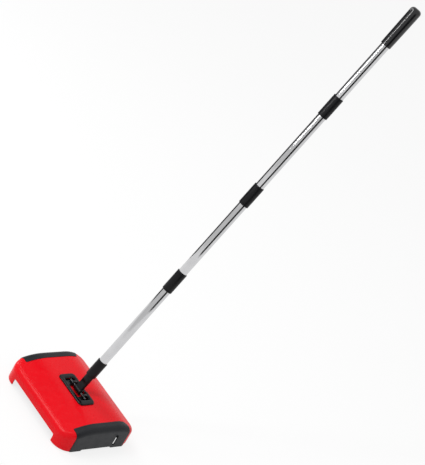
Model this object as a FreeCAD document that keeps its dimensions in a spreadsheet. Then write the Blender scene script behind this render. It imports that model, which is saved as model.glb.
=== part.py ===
import FreeCAD, Part
import math
import os
import re
import Sketcher

# Carpet sweeper. Millimetres. The origin is on the floor under the middle of the body.
# X runs along the body's long side, -Y is the front, +Y the user's side, +Z is up.

SIZES = {
    # body
    "body_length": 268,
    "body_depth": 214,
    "body_height": 63.5,
    "wall": 2.4,
    "skirt_gap": 2.6,
    "front_shoulder": 44,
    "back_shoulder": 46,
    "crown_front": -42,
    "crown_back": 62,
    "crown_front_round": 110,
    "crown_back_round": 55,
    "front_corner": 38,
    "back_corner": 28,
    "rim_round": 12,
    "mouth_half": 92,
    "mouth_height": 21,
    "mouth_reach": 26,
    "back_gap": 8,
    # end caps
    "cap_wrap": 23,
    "cap_front": -77,
    "cap_back": 76,
    "cap_back_rake": 6,
    "cap_corner": 12,
    "cap_proud": 0.8,
    "cap_seam": 0.3,
    "cap_foot_gap": 2,
    "cap_arch_gap": 5.5,
    "cap_arch_front": -44,
    "cap_arch_back": 46,
    "clip_width": 16,
    "clip_front": -18,
    "clip_middle": 11,
    "clip_back": 40,
    "clip_reach": 6,
    "clip_thick": 1.8,
    "snug": 0.05,
    # side frames
    "frame_face": 100,
    "frame_thick": 3,
    "frame_foot": 9,
    "frame_top": 47,
    "frame_half": 97,
    "frame_shoulder": 36,
    "frame_slope": 16,
    "arm_place": 70,
    "arm_width": 12,
    "arm_thick": 3,
    "arm_gap": 2.3,
    "boss_radius": 4,
    "boss_out": 6.5,
    "screw_radius": 1.5,
    "screw_head_radius": 2.9,
    "screw_head_thick": 2,
    # brush
    "brush_height": 26.5,
    "brush_radius": 26,
    "brush_half": 93,
    "core_radius": 11,
    "shaft_radius": 3,
    "shaft_half": 117,
    "running_fit": 0.08,
    "bush_radius": 5.5,
    "bush_flange_radius": 7.5,
    "bush_flange": 1,
    "drum_radius": 16,
    # wheels
    "wheel_radius": 22.5,
    "wheel_width": 11,
    "wheel_face": 105,
    "drive_gap": 0.2,
    "tyre_thick": 4.5,
    "hub_web": 4,
    "hub_rim": 2.4,
    "hub_boss": 5.5,
    "axle_radius": 2.5,
    "axle_boss": 5.5,
    "axle_tail": 2,
    "clip_ring": 5,
    "clip_ring_thick": 1,
    # dust pans
    "pan_hinge_y": 86,
    "pan_hinge_z": 27,
    "pan_wall": 1.6,
    "pan_end": 97,
    "pan_back": 81,
    "pan_top": 44,
    "pan_floor": 5,
    "pan_bevel": 4,
    "pan_ramp_foot": 40,
    "pan_ramp_tip": 29,
    "pan_ramp_rise": 8,
    "pan_side_cut": 4,
    "pan_side_rise": 13,
    "pan_side_back": 10,
    "pan_ear_radius": 5.5,
    "pan_ear_thick": 4,
    "pan_shaft_radius": 3,
    "lip_thick": 1.2,
    "lip_overlap": 3,
    "lip_reach": 3.5,
    # pan release
    "lever_radius": 38,
    "lever_rest": 16,
    "pan_swing": 36,
    "lever_tab": 5,
    "lever_tab_thick": 2.4,
    "lever_tab_out": 3.2,
    "lever_arm_width": 7,
    "crank_throw": 8,
    "crank_radius": 5,
    "crank_face": 121,
    "crank_thick": 2.4,
    "crank_web_half": 3,
    "link_face": 118.6,
    "link_thick": 2,
    "link_half_width": 2.8,
    "link_pin_radius": 1.5,
    "link_play": 0.7,
    "slot_play": 0.5,
    "spring_radius": 4.4,
    "spring_wire": 0.6,
    "spring_turns": 5,
    "spring_pitch": 1.7,
    # edge brushes
    "tuft_block_out": 11,
    "tuft_block_depth": 8,
    "tuft_block_foot": 10,
    "tuft_block_top": 22,
    "tuft_inset": 1,
    "tuft_gap": 0.3,
    # handle pivot
    "pivot_y": 3,
    "pivot_z": 64,
    "bezel_length": 104,
    "bezel_width": 47,
    "bezel_y": -2,
    "bezel_rise": 4,
    "bezel_corner": 10,
    "bezel_bevel": 2.2,
    "window_half": 38,
    "window_front": 15,
    "window_back": 14,
    "window_margin": 2,
    "rear_slot_half": 12.5,
    "well_floor": 55.8,
    "well_wall": 2,
    "ear_near": 20,
    "ear_thick": 6,
    "ear_front": 5,
    "ear_top": 68.4,
    "ear_foot": 57.5,
    "pin_radius": 2.5,
    "pin_half": 34,
    "pin_clip_radius": 4.2,
    "pin_clip_thick": 1,
    "bezel_screw_x": 45,
    "bezel_screw_y": 17.5,
    "knuckle_barrel": 7,
    "knuckle_half": 12,
    "paddle_half_width": 10.25,
    "paddle_half_thick": 5,
    "paddle_end": 30,
    "arm_round": 10.25,
    "arm_root": 4,
    "arm_swell": 6,
    # handle, measured up from the pivot
    "lean": 72,
    "sleeve_foot": 46,
    "sleeve_top": 92,
    "sleeve_radius": 12.75,
    "tube_radius": 11,
    "tube_wall": 0.9,
    "tube_fit": 0.03,
    "spigot_play": 0.15,
    "spigot_end": 80,
    "first_joint": 350.8,
    "joint_pitch": 269.4,
    "joint_length": 57,
    "joint_web": 6,
    "joint_bevel": 1,
    "grip_foot": 1072,
    "grip_top": 1178,
    "grip_radius": 14,
    "grip_dome": 9,
    "grip_cap": 8,
}

DOC = FreeCAD.newDocument("CarpetSweeper")
SHEET = DOC.addObject("Spreadsheet::Sheet", "Sizes")
for row, (alias, value) in enumerate(SIZES.items(), start=1):
    SHEET.set(f"A{row}", alias)
    SHEET.set(f"B{row}", str(value))
    SHEET.setAlias(f"B{row}", alias)
DOC.recompute()

SUB_PARTS = []
SIDES = {"left": -1, "right": 1}
ENDS = {"front": -1, "rear": 1}


# ---------------------------------------------------------------- helpers

def tied(expression):
    """The expression with every word of the sheet tied to its cell."""
    return re.sub(
        r"[a-z_]+",
        lambda word: "Sizes." + word.group(0) if word.group(0) in SIZES else word.group(0),
        str(expression),
    )


def size(alias):
    """The value that the sheet holds under this word."""
    return float(SHEET.get(alias))


def sub_part(piece, name):
    """Names a finished sub-part and puts it on the list to be written out."""
    piece.Label = name
    SUB_PARTS.append(piece)
    return piece


def new_body(name):
    return DOC.addObject("PartDesign::Body", name + "_body")


def sketch_on(body, name, role, offset="0"):
    """A sketch on one of the body's own origin planes, moved along its normal."""
    plane = [feature for feature in body.Origin.OriginFeatures if feature.Role == role][0]
    sketch = body.newObject("Sketcher::SketchObject", name)
    sketch.AttachmentSupport = [(plane, "")]
    sketch.MapMode = "FlatFace"
    sketch.setExpression("AttachmentOffset.Base.z", tied(offset))
    return sketch


def pin_down(sketch, geometry, point, across, up):
    """Ties one point of the sketch to two expressions."""
    for kind, expression in (("DistanceX", across), ("DistanceY", up)):
        index = sketch.addConstraint(Sketcher.Constraint(kind, -1, 1, geometry, point, 1.0))
        sketch.setExpression(f"Constraints[{index}]", tied(expression))


def polygon(sketch, points):
    """A closed outline through the points, each a pair of expressions."""
    count = len(points)
    first = sketch.GeometryCount
    turn = 2 * math.pi / count
    corners = [
        FreeCAD.Vector(20 * math.cos(turn * index), 20 * math.sin(turn * index), 0)
        for index in range(count)
    ]
    for index in range(count):
        sketch.addGeometry(Part.LineSegment(corners[index], corners[(index + 1) % count]))
    for index in range(count):
        following = first + (index + 1) % count
        sketch.addConstraint(Sketcher.Constraint("Coincident", first + index, 2, following, 1))
    for index, (across, up) in enumerate(points):
        pin_down(sketch, first + index, 1, across, up)


def rectangle(sketch, across, up):
    """A closed rectangle; across and up are pairs of expressions, low and high."""
    corners = [(across[0], up[0]), (across[1], up[0]), (across[1], up[1]), (across[0], up[1])]
    polygon(sketch, corners)


def pad(body, sketch, length, both_ways=False):
    feature = body.newObject("PartDesign::Pad", sketch.Name + "_pad")
    feature.Profile = sketch
    feature.setExpression("Length", tied(length))
    if both_ways:
        feature.Midplane = True
    return feature


def pocket_both_ways(body, sketch, length):
    """A pocket of this whole length, half on each side of the sketch."""
    feature = body.newObject("PartDesign::Pocket", sketch.Name + "_pocket")
    feature.Profile = sketch
    feature.setExpression("Length", tied(length))
    feature.Midplane = True
    return feature


def round_edges(body, feature, chosen, radius):
    """Rounds the edges of the feature that the test chooses."""
    DOC.recompute()
    names = [f"Edge{i}" for i, edge in enumerate(feature.Shape.Edges, start=1) if chosen(edge)]
    rounding = body.newObject("PartDesign::Fillet", feature.Name + "_round")
    rounding.Base = (feature, names)
    rounding.setExpression("Radius", tied(radius))
    return rounding


def box(name, x, y, z):
    """A block; x, y and z are pairs of expressions, low and high."""
    piece = DOC.addObject("Part::Box", name)
    for length, axis, (low, high) in (("Length", "x", x), ("Width", "y", y), ("Height", "z", z)):
        piece.setExpression(length, tied(f"({high}) - ({low})"))
        piece.setExpression("Placement.Base." + axis, tied(low))
    return piece


def rod_along_x(name, radius, x, y, z):
    """A round rod along X from x[0] to x[1], through (y, z)."""
    piece = DOC.addObject("Part::Cylinder", name)
    piece.Placement.Rotation = FreeCAD.Rotation(FreeCAD.Vector(0, 1, 0), 90)
    piece.setExpression("Radius", tied(radius))
    piece.setExpression("Height", tied(f"({x[1]}) - ({x[0]})"))
    piece.setExpression("Placement.Base.x", tied(x[0]))
    piece.setExpression("Placement.Base.y", tied(y))
    piece.setExpression("Placement.Base.z", tied(z))
    return piece


def post(name, radius, x, y, z):
    """A round post along Z from z[0] to z[1], through (x, y)."""
    piece = DOC.addObject("Part::Cylinder", name)
    piece.setExpression("Radius", tied(radius))
    piece.setExpression("Height", tied(f"({z[1]}) - ({z[0]})"))
    piece.setExpression("Placement.Base.x", tied(x))
    piece.setExpression("Placement.Base.y", tied(y))
    piece.setExpression("Placement.Base.z", tied(z[0]))
    return piece


def prism_along_x(name, points, x):
    """A polygon of (y, z) points carried along X from x[0] to x[1]."""
    body = new_body(name)
    sketch = sketch_on(body, name + "_outline", "YZ_Plane", x[0])
    polygon(sketch, points)
    pad(body, sketch, f"({x[1]}) - ({x[0]})")
    return body


def fused(name, pieces):
    piece = DOC.addObject("Part::MultiFuse", name)
    piece.Shapes = pieces
    piece.Refine = True
    return piece


def cut(name, base, tools):
    """The base with every tool taken away."""
    piece = DOC.addObject("Part::Cut", name)
    piece.Base = base
    piece.Tool = tools[0] if len(tools) == 1 else fused(name + "_tools", tools)
    piece.Refine = True
    return piece


def common(name, base, tool):
    piece = DOC.addObject("Part::Common", name)
    piece.Base = base
    piece.Tool = tool
    piece.Refine = True
    return piece


def group(name, pieces):
    """Separate like pieces that share one node."""
    piece = DOC.addObject("Part::Compound", name)
    piece.Links = pieces
    return piece


def turned(name, profile):
    """A body turned about its own Z axis; the profile is (radius, height) pairs."""
    body = new_body(name)
    sketch = sketch_on(body, name + "_profile", "XZ_Plane")
    polygon(sketch, profile)
    spin = body.newObject("PartDesign::Revolution", name + "_turned")
    spin.Profile = sketch
    spin.ReferenceAxis = (sketch, ["V_Axis"])
    spin.Angle = 360
    return body


def face_outwards(body, side, y, z):
    """Lays a turned body along X, its own +Z pointing away from the middle."""
    body.Placement.Rotation = FreeCAD.Rotation(FreeCAD.Vector(0, 1, 0), 90 * side)
    body.setExpression("Placement.Base.y", tied(y))
    body.setExpression("Placement.Base.z", tied(z))
    return body


def on_handle(body):
    """Leans a body so that its own +Z runs up the handle from the pivot."""
    lean_back = size("lean") - 90
    body.Placement.Rotation = FreeCAD.Rotation(FreeCAD.Vector(1, 0, 0), lean_back)
    body.setExpression("Placement.Rotation.Angle", tied("(90 - lean) * 1 deg"))
    body.Placement.Rotation.Axis = FreeCAD.Vector(-1, 0, 0)
    body.setExpression("Placement.Base.y", tied("pivot_y"))
    body.setExpression("Placement.Base.z", tied("pivot_z"))
    return body


def outward(side, low, high):
    """The X span from low to high on one side of the middle."""
    if side > 0:
        return (low, high)
    return (f"-({high})", f"-({low})")


# ---------------------------------------------------------------- body shells

def shell_form(name, inset, foot):
    """The body's crowned solid, drawn in by the inset on every side.

    A side profile carried along X, its two crown lines rounded, its four upright corners
    rounded, and one rolled edge all the way round the top.
    """
    body = new_body(name)
    sketch = sketch_on(body, name + "_side", "YZ_Plane")
    front = f"-body_depth / 2 + ({inset})"
    back = f"body_depth / 2 - ({inset})"
    top = f"body_height - ({inset})"
    polygon(sketch, [
        (front, foot),
        (back, foot),
        (back, f"back_shoulder - 0.6 * ({inset})"),
        ("crown_back", top),
        ("crown_front", top),
        (front, f"front_shoulder - 0.75 * ({inset})"),
    ])
    block = pad(body, sketch, f"body_length - 2 * ({inset})", both_ways=True)

    def crown_line(place):
        def test(edge):
            middle = edge.CenterOfMass
            return abs(middle.y - size(place)) < 1 and abs(middle.x) < 1 and middle.z > 30
        return test

    first = round_edges(body, block, crown_line("crown_front"), f"crown_front_round - ({inset})")
    second = round_edges(body, first, crown_line("crown_back"), f"crown_back_round - ({inset})")

    def upright(end):
        def test(edge):
            box_of = edge.BoundBox
            flat = box_of.XLength < 0.01 and box_of.YLength < 0.01
            return flat and edge.CenterOfMass.y * end > 0
        return test

    third = round_edges(body, second, upright(-1), f"front_corner - ({inset})")
    fourth = round_edges(body, third, upright(1), f"back_corner - ({inset})")
    DOC.recompute()
    extent = fourth.Shape.BoundBox
    corner = max(size("front_corner"), size("back_corner"))

    def rim(edge):
        middle = edge.valueAt((edge.FirstParameter + edge.LastParameter) / 2)
        if edge.BoundBox.ZMin < extent.ZMin + 1:
            return False
        on_side = abs(abs(middle.x) - extent.XMax) < 0.1 or abs(abs(middle.y) - extent.YMax) < 0.1
        in_corner = abs(middle.x) > extent.XMax - corner and abs(middle.y) > extent.YMax - corner
        crossing = edge.BoundBox.XLength > extent.XLength / 2
        return on_side or (in_corner and not crossing)

    round_edges(body, fourth, rim, f"rim_round - ({inset})")
    return body


def cap_zone(name, side, growth):
    """The upright block that an end cap fills, grown by the seam for the housing's cut."""
    body = new_body(name)
    sketch = sketch_on(body, name + "_plan", "XY_Plane", "-10")
    sign = "" if side > 0 else "-"
    inner = f"{sign}(body_length / 2 - cap_wrap - ({growth}))"
    outer = f"{sign}(body_length / 2 + 20)"
    polygon(sketch, [
        (inner, f"cap_front - ({growth})"),
        (outer, f"cap_front - ({growth})"),
        (outer, f"cap_back + cap_back_rake * (cap_wrap + 20) / cap_wrap + ({growth})"),
        (inner, f"cap_back + ({growth})"),
    ])
    block = pad(body, sketch, "body_height + 40")

    def inner_back(edge):
        """The upright edge behind and towards the middle."""
        bounds = edge.BoundBox
        near = abs(bounds.XMax) < size("body_length") / 2
        return bounds.YLength < 0.01 and bounds.XLength < 0.01 and near and bounds.YMin > 0

    round_edges(body, block, inner_back, f"cap_corner + ({growth})")
    return body


# Middle of the roof's wall above the side frames' arms, on the front and the back slope.
ROOF_OVER_ARM = {
    "front": (
        "body_height - wall / 2 - (arm_place + crown_front)"
        " * (body_height - front_shoulder) / (body_depth / 2 + crown_front)"
    ),
    "rear": (
        "body_height - wall / 2 - (arm_place - crown_back)"
        " * (body_height - back_shoulder) / (body_depth / 2 - crown_back)"
    ),
}


def make_top_housing():
    outer = shell_form("housing_outer", "0", "skirt_gap")
    inner = shell_form("housing_inner", "wall", "-5")
    shell = cut("housing_shell", outer, [inner])
    hollow_x = ("-window_half - window_margin", "window_half + window_margin")
    hollow_y = ("bezel_y - window_front", "bezel_y + window_back + 2 * window_margin")
    well_x = (f"{hollow_x[0]} - well_wall", f"{hollow_x[1]} + well_wall")
    well_y = (f"{hollow_y[0]} - well_wall", f"{hollow_y[1]} + well_wall")
    well = box("well_block", well_x, well_y, ("well_floor - well_wall", "body_height - wall / 2"))
    bosses = [
        post(
            f"housing_boss_{side}_{end}",
            "boss_radius",
            f"{SIDES[side]} * (frame_face + boss_out)",
            f"{ENDS[end]} * arm_place",
            ("frame_top", ROOF_OVER_ARM[end]),
        )
        for side in SIDES
        for end in ENDS
    ]
    tools = [
        box("well_hollow", hollow_x, hollow_y, ("well_floor", "body_height + 5")),
        box(
            "mouth",
            ("-mouth_half", "mouth_half"),
            ("-body_depth / 2 - 5", "-body_depth / 2 + mouth_reach"),
            ("-5", "mouth_height"),
        ),
        box(
            "back_gap_block",
            ("-body_length", "body_length"),
            ("cap_back + 10", "body_depth"),
            ("-5", "back_gap"),
        ),
        cap_zone("right_cap_cut", 1, "cap_seam"),
        cap_zone("left_cap_cut", -1, "cap_seam"),
    ]
    tools += [
        post(
            f"bezel_screw_hole_{side}_{end}",
            "screw_radius + snug",
            f"{SIDES[side]} * bezel_screw_x",
            f"bezel_y + {ENDS[end]} * bezel_screw_y",
            ("body_height - 8", "body_height + 5"),
        )
        for side in SIDES
        for end in ENDS
    ]
    tools += [
        post(
            f"chassis_screw_hole_{side}_{end}",
            "screw_radius + snug",
            f"{SIDES[side]} * (frame_face + boss_out)",
            f"{ENDS[end]} * arm_place",
            ("frame_top - 2", "frame_top + 7.5"),
        )
        for side in SIDES
        for end in ENDS
    ]
    sub_part(cut("top_housing", fused("housing_solid", [shell, well] + bosses), tools), "top_housing")


def make_end_cap(name, side):
    """A cover over one end, clipped under the housing's roof, with the lever's slot."""
    outer = shell_form(name + "_outer", "-cap_proud", "cap_foot_gap")
    inner = shell_form(name + "_inner", "wall", "-5")
    shell = cut(name + "_shell", outer, [inner])
    zone = cap_zone(name + "_zone", side, "0")
    skin = common(name + "_skin", shell, zone)
    seam = "body_length / 2 - cap_wrap"
    roof = "body_height - wall"
    clips = []
    for index, place in enumerate(("clip_front", "clip_middle", "clip_back")):
        span = (f"{place} - clip_width / 2", f"{place} + clip_width / 2")
        clips.append(box(
            f"{name}_tongue_{index}",
            outward(side, f"{seam} - clip_reach", f"{seam} + 5"),
            span,
            (f"{roof} - snug - clip_thick", f"{roof} - snug"),
        ))
        clips.append(box(
            f"{name}_root_{index}",
            outward(side, f"{seam} + snug", f"{seam} + 5"),
            span,
            (f"{roof} - snug - clip_thick", f"{roof} + 1"),
        ))
    arch = box(
        name + "_arch",
        outward(side, "body_length / 2 - cap_wrap - 5", "body_length / 2 + 5"),
        ("cap_arch_front", "cap_arch_back"),
        ("-5", "cap_arch_gap"),
    )
    tools = [arch]
    if side > 0:
        reach = "lever_radius"
        tab_y = f"pan_hinge_y - {reach}"
        drop = "pan_swing - lever_rest"
        tools.append(box(
            name + "_slot",
            ("body_length / 2 - 10", "body_length / 2 + 5"),
            (
                f"{tab_y} - lever_tab_thick / 2 - slot_play",
                f"pan_hinge_y - {reach} * cos(({drop}) * 1 deg) + lever_tab_thick / 2"
                f" + lever_tab / 2 * sin(({drop}) * 1 deg) + slot_play",
            ),
            (
                f"pan_hinge_z - {reach} * sin(({drop}) * 1 deg) - lever_tab / 2 - slot_play",
                f"pan_hinge_z + {reach} * sin(lever_rest * 1 deg) + lever_tab / 2 + slot_play",
            ),
        ))
    sub_part(cut(name, fused(name + "_solid", [skin] + clips), tools), name)


# ---------------------------------------------------------------- frames and fasteners

def make_side_frame(name, side):
    """An upright plate that carries the brush bush, two axles and the pan hinges."""
    outer_face = "frame_face + frame_thick"
    plate = prism_along_x(
        name + "_plate",
        [
            ("-frame_half", "frame_foot"),
            ("frame_half", "frame_foot"),
            ("frame_half", "frame_shoulder"),
            ("frame_half - frame_slope", "frame_top"),
            ("-frame_half + frame_slope", "frame_top"),
            ("-frame_half", "frame_shoulder"),
        ],
        outward(side, "frame_face", outer_face),
    )
    solids = [plate]
    tools = [rod_along_x(
        name + "_bush_bore",
        "bush_radius",
        outward(side, "frame_face - 5", "frame_face + 20"),
        "0",
        "brush_height",
    )]
    for end, sign in ENDS.items():
        solids.append(box(
            f"{name}_arm_{end}",
            outward(side, outer_face + " - 0.5", "body_length / 2 - wall - arm_gap"),
            (f"{sign} * arm_place - arm_width / 2", f"{sign} * arm_place + arm_width / 2"),
            ("frame_top - arm_thick", "frame_top"),
        ))
        solids.append(rod_along_x(
            f"{name}_axle_boss_{end}",
            "axle_boss",
            outward(side, outer_face + " - 0.5", "wheel_face - 0.3"),
            f"{sign} * {WHEEL_Y}",
            "wheel_radius",
        ))
        tools.append(rod_along_x(
            f"{name}_axle_bore_{end}",
            "axle_radius",
            outward(side, "frame_face - 5", "wheel_face + 5"),
            f"{sign} * {WHEEL_Y}",
            "wheel_radius",
        ))
        tools.append(rod_along_x(
            f"{name}_pan_bore_{end}",
            "pan_shaft_radius + running_fit",
            outward(side, "frame_face - 5", "frame_face + 20"),
            f"{sign} * pan_hinge_y",
            "pan_hinge_z",
        ))
        tools.append(post(
            f"{name}_screw_bore_{end}",
            "screw_radius",
            f"{side} * (frame_face + boss_out)",
            f"{sign} * arm_place",
            ("frame_top - 10", "frame_top + 5"),
        ))
    sub_part(cut(name, fused(name + "_solid", solids), tools), name)


def screw(name, x, y, seat, length):
    """A small screw that points up, its head under the seat."""
    head = post(name + "_head", "screw_head_radius", x, y, (f"{seat} - screw_head_thick", seat))
    shank = post(name + "_shank", "screw_radius", x, y, (f"{seat} - 1", f"{seat} + {length}"))
    return fused(name, [head, shank])


def make_screws():
    chassis = []
    bezel = []
    for side in SIDES:
        for end in ENDS:
            chassis.append(screw(
                f"chassis_screw_{side}_{end}",
                f"{SIDES[side]} * (frame_face + boss_out)",
                f"{ENDS[end]} * arm_place",
                "(frame_top - arm_thick)",
                "(arm_thick + 7)",
            ))
            bezel.append(screw(
                f"bezel_screw_{side}_{end}",
                f"{SIDES[side]} * bezel_screw_x",
                f"bezel_y + {ENDS[end]} * bezel_screw_y",
                "(body_height - wall)",
                "(wall + 2.8)",
            ))
    sub_part(group("chassis_screws", chassis), "chassis_screws")
    sub_part(group("bezel_screws", bezel), "bezel_screws")


# ---------------------------------------------------------------- brush

WHEEL_Y = (
    "sqrt((wheel_radius + drum_radius + drive_gap) ^ 2 - (brush_height - wheel_radius) ^ 2)"
)


def make_brush():
    shaft = rod_along_x("shaft_rod", "shaft_radius", ("-shaft_half", "shaft_half"), "0", "brush_height")
    sub_part(shaft, "brush_shaft")
    core = turned("brush_core", [
        ("shaft_radius", "-brush_half"),
        ("core_radius", "-brush_half"),
        ("core_radius", "brush_half"),
        ("shaft_radius", "brush_half"),
    ])
    sub_part(face_outwards(core, 1, "0", "brush_height"), "brush_core")
    bristles = turned("brush_bristles", [
        ("core_radius", "-brush_half + 2"),
        ("brush_radius", "-brush_half + 2"),
        ("brush_radius", "brush_half - 2"),
        ("core_radius", "brush_half - 2"),
    ])
    sub_part(face_outwards(bristles, 1, "0", "brush_height"), "brush_bristles")
    bushes = []
    for side, sign in SIDES.items():
        bush = turned(f"bush_{side}", [
            ("shaft_radius + running_fit", "frame_face - bush_flange"),
            ("bush_flange_radius", "frame_face - bush_flange"),
            ("bush_flange_radius", "frame_face"),
            ("bush_radius", "frame_face"),
            ("bush_radius", "frame_face + frame_thick + 0.6"),
            ("shaft_radius + running_fit", "frame_face + frame_thick + 0.6"),
        ])
        bushes.append(face_outwards(bush, sign, "0", "brush_height"))
        drum = turned(f"{side}_drive_drum", [
            ("shaft_radius", "wheel_face"),
            ("hub_boss", "wheel_face"),
            ("hub_boss", "wheel_face + wheel_width / 2 - hub_web / 2"),
            ("drum_radius - hub_rim", "wheel_face + wheel_width / 2 - hub_web / 2"),
            ("drum_radius - hub_rim", "wheel_face + 0.5"),
            ("drum_radius", "wheel_face + 0.5"),
            ("drum_radius", "wheel_face + wheel_width - 0.5"),
            ("drum_radius - hub_rim", "wheel_face + wheel_width - 0.5"),
            ("drum_radius - hub_rim", "wheel_face + wheel_width / 2 + hub_web / 2"),
            ("shaft_radius", "wheel_face + wheel_width / 2 + hub_web / 2"),
        ])
        sub_part(face_outwards(drum, sign, "0", "brush_height"), f"{side}_drive_drum")
    sub_part(group("brush_bushes", bushes), "brush_bushes")


# ---------------------------------------------------------------- wheels

def make_wheel(end, side):
    """A hub with a centre web, and a rubber tyre with eased shoulders."""
    name = f"{end}_{side}"
    rim = "wheel_radius - tyre_thick"
    middle = "wheel_face + wheel_width / 2"
    hub = turned(f"{name}_wheel_hub", [
        ("axle_radius + running_fit", "wheel_face"),
        ("hub_boss", "wheel_face"),
        ("hub_boss", f"{middle} - hub_web / 2"),
        (f"{rim} - hub_rim", f"{middle} - hub_web / 2"),
        (f"{rim} - hub_rim", "wheel_face + 0.5"),
        (rim, "wheel_face + 0.5"),
        (rim, "wheel_face + wheel_width - 0.5"),
        (f"{rim} - hub_rim", "wheel_face + wheel_width - 0.5"),
        (f"{rim} - hub_rim", f"{middle} + hub_web / 2"),
        ("hub_boss", f"{middle} + hub_web / 2"),
        ("hub_boss", "wheel_face + wheel_width"),
        ("axle_radius + running_fit", "wheel_face + wheel_width"),
    ])
    tyre = turned(f"{name}_tyre", [
        (rim, "wheel_face + 0.3"),
        ("wheel_radius - 1", "wheel_face + 0.3"),
        ("wheel_radius", "wheel_face + 1.3"),
        ("wheel_radius", "wheel_face + wheel_width - 1.3"),
        ("wheel_radius - 1", "wheel_face + wheel_width - 0.3"),
        (rim, "wheel_face + wheel_width - 0.3"),
    ])
    for piece, label in ((hub, f"{name}_wheel_hub"), (tyre, f"{name}_tyre")):
        face_outwards(piece, SIDES[side], f"{ENDS[end]} * {WHEEL_Y}", "wheel_radius")
        sub_part(piece, label)


def make_axles():
    axles = []
    clips = []
    tail = "wheel_face + wheel_width"
    for end, sign in ENDS.items():
        for side, way in SIDES.items():
            axles.append(rod_along_x(
                f"axle_{end}_{side}",
                "axle_radius",
                outward(way, "frame_face", f"{tail} + axle_tail"),
                f"{sign} * {WHEEL_Y}",
                "wheel_radius",
            ))
            ring = turned(f"axle_clip_{end}_{side}", [
                ("axle_radius", f"{tail} + 0.3"),
                ("clip_ring", f"{tail} + 0.3"),
                ("clip_ring", f"{tail} + 0.3 + clip_ring_thick"),
                ("axle_radius", f"{tail} + 0.3 + clip_ring_thick"),
            ])
            clips.append(face_outwards(ring, way, f"{sign} * {WHEEL_Y}", "wheel_radius"))
    sub_part(group("wheel_axles", axles), "wheel_axles")
    sub_part(group("axle_clips", clips), "axle_clips")


# ---------------------------------------------------------------- dust pans

def make_dust_pan(end):
    """A trough with a ramp towards the brush, and an ear round its hinge at each end."""
    sign = ENDS[end]
    name = f"{end}_dust_pan"

    def at(distance, height):
        return (f"{sign} * ({distance})", height)

    body = new_body(name)
    outline = sketch_on(body, name + "_outline", "YZ_Plane")
    polygon(outline, [
        at("pan_back", "pan_top"),
        at("pan_back", "pan_floor + pan_bevel"),
        at("pan_back - pan_bevel", "pan_floor"),
        at("pan_ramp_foot", "pan_floor"),
        at("pan_ramp_tip", "pan_floor + pan_ramp_rise"),
        at("pan_ramp_tip + pan_side_cut", "pan_floor + pan_ramp_rise + pan_side_rise"),
        at("pan_ramp_foot + pan_side_back", "pan_top"),
    ])
    pad(body, outline, "2 * pan_end", both_ways=True)
    hollow = sketch_on(body, name + "_hollow", "YZ_Plane")
    polygon(hollow, [
        at("pan_back - pan_wall", "pan_top + 10"),
        at("pan_back - pan_wall", "pan_floor + pan_bevel + 0.5"),
        at("pan_back - pan_bevel - 0.5", "pan_floor + pan_wall"),
        at("pan_ramp_foot + 0.5", "pan_floor + pan_wall"),
        at(
            "pan_ramp_foot - 1.7 * (pan_ramp_foot - pan_ramp_tip)",
            "pan_floor + pan_wall + pan_ramp_rise * 1.7",
        ),
        at("pan_ramp_foot - 1.7 * (pan_ramp_foot - pan_ramp_tip)", "pan_top + 10"),
    ])
    pocket_both_ways(body, hollow, "2 * (pan_end - pan_wall)")
    ears = []
    for side, way in SIDES.items():
        span = outward(way, "pan_end - pan_ear_thick", "pan_end")
        eye = rod_along_x(
            f"{name}_eye_{side}", "pan_ear_radius", span, f"{sign} * pan_hinge_y", "pan_hinge_z"
        )
        lug = box(
            f"{name}_lug_{side}",
            span,
            ("pan_back - 1", "pan_hinge_y") if sign > 0 else ("-pan_hinge_y", "-pan_back + 1"),
            ("pan_hinge_z - pan_ear_radius", "pan_hinge_z + pan_ear_radius"),
        )
        ears += [eye, lug]
    bores = [
        rod_along_x(
            f"{name}_bore_{side}",
            "pan_shaft_radius + running_fit" if way < 0 else "pan_shaft_radius",
            outward(way, "pan_end - pan_ear_thick - 1", "pan_end + 1"),
            f"{sign} * pan_hinge_y",
            "pan_hinge_z",
        )
        for side, way in SIDES.items()
    ]
    sub_part(cut(name + "_whole", fused(name + "_solid", [body] + ears), bores), name)

    ramp_run = "(pan_ramp_foot - pan_ramp_tip)"
    ramp_long = f"sqrt({ramp_run} ^ 2 + pan_ramp_rise ^ 2)"
    along_y = f"({ramp_run} / {ramp_long})"
    along_z = f"(pan_ramp_rise / {ramp_long})"
    lip = prism_along_x(f"{end}_pan_lip", [
        at(
            f"pan_ramp_foot - lip_overlap * {along_y}",
            f"pan_floor + lip_overlap * {along_z}",
        ),
        at(
            f"pan_ramp_tip - lip_reach * {along_y}",
            f"pan_floor + pan_ramp_rise + lip_reach * {along_z}",
        ),
        at(
            f"pan_ramp_tip - lip_reach * {along_y} - lip_thick * {along_z}",
            f"pan_floor + pan_ramp_rise + lip_reach * {along_z} - lip_thick * {along_y}",
        ),
        at(
            f"pan_ramp_foot - lip_overlap * {along_y} - lip_thick * {along_z}",
            f"pan_floor + lip_overlap * {along_z} - lip_thick * {along_y}",
        ),
    ], ("-pan_end + 1", "pan_end - 1"))
    sub_part(lip, f"{end}_pan_lip")


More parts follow.
